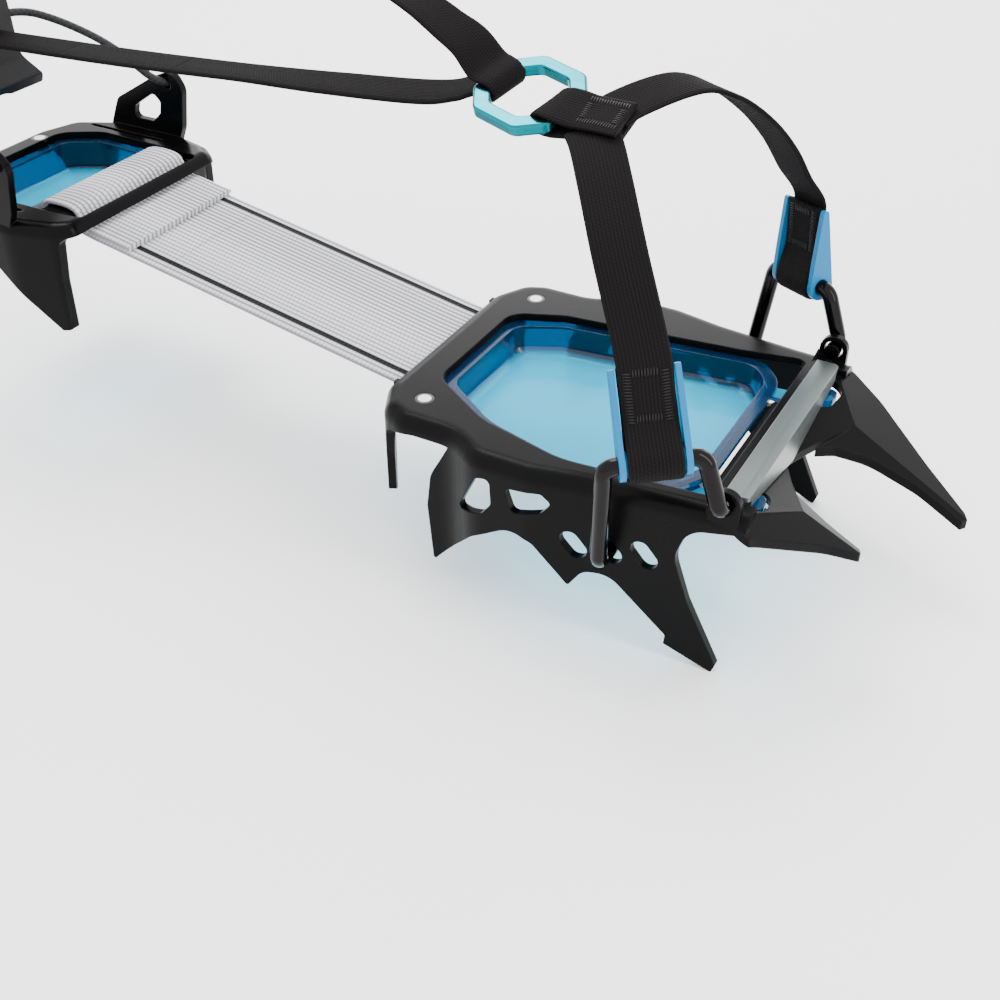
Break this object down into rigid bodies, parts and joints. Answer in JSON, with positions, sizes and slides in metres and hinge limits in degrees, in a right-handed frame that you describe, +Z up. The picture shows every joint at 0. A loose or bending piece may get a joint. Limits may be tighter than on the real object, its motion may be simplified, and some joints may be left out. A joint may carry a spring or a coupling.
{
  "type": "crampon",
  "caption": "Flexible-link crampon: toothed toe section with wire bails and webbing harness, webbing link, toothed heel section with lever.",
  "frame": {"origin": "on the top face of the toe section's rear bridge, on the centre line, where the boot sole rests", "axes": "+X towards the toe points, +Y to the wearer's left, +Z up out of the plate towards the boot"},
  "size_m": [0.3744, 0.1378, 0.177],
  "materials": {
    "black_steel": "satin",
    "bare_steel": "satin",
    "blue_plate": "gloss",
    "dark_wire": "gloss",
    "blue_clip": "gloss",
    "black_webbing": "matte",
    "pale_webbing": "matte",
    "teal_ring": "satin",
    "black_plastic": "satin"
  },
  "bodies": {
    "front_section": {"front_frame": "black_steel", "front_crossbar": "bare_steel", "front_antiball_plate": "blue_plate", "front_rivets": "bare_steel", "rivet_washers": "bare_steel", "strap_anchor_pin": "bare_steel", "left_toe_strap": "black_webbing", "right_toe_strap": "black_webbing", "ring_patch": "black_webbing", "strap_ring": "teal_ring", "ankle_strap": "black_webbing"},
    "left_bail": {"left_toe_bail": "dark_wire", "left_strap_clip": "blue_clip"},
    "right_bail": {"right_toe_bail": "dark_wire", "right_strap_clip": "blue_clip"},
    "link": {"link_strap": "pale_webbing"},
    "heel_section": {"heel_frame": "black_steel", "heel_antiball_plate": "blue_plate", "heel_rivets": "bare_steel", "adjuster_bar": "bare_steel", "heel_cord": "black_webbing", "cord_stoppers": "black_plastic"},
    "heel_lever": {"heel_lever": "black_plastic", "strap_buckle": "black_plastic"}
  },
  "joints": [
    {"name": "right_bail_swing", "type": "hinge", "parent": "front_section", "child": "right_bail", "pos_m": [0.0795, -0.0526, -0.0218], "axis": [0.7797, 0.1152, 0.6154], "range_deg": [-4, 16], "deforming": ["right_toe_strap"]},
    {"name": "left_bail_swing", "type": "hinge", "parent": "front_section", "child": "left_bail", "pos_m": [0.0795, 0.0526, -0.0218], "axis": [-0.7797, 0.1152, -0.6154], "range_deg": [-4, 16], "deforming": ["left_toe_strap"]},
    {"name": "link_fold", "type": "hinge", "parent": "front_section", "child": "link", "pos_m": [-0.058, 0, 0.005], "axis": [0, 1, 0], "range_deg": [-18, 25], "deforming": ["link_strap", "ankle_strap"]},
    {"name": "length_adjust", "type": "slide", "parent": "link", "child": "heel_section", "axis": [-0.9847, 0, 0.1743], "range_m": [-0.012, 0.03], "deforming": ["link_strap", "ankle_strap"]},
    {"name": "heel_lever", "type": "hinge", "parent": "heel_section", "child": "heel_lever", "pos_m": [-0.197, 0, 0.074], "axis": [0, -1, 0], "range_deg": [0, 65], "deforming": ["heel_cord", "ankle_strap"]}
  ]
}
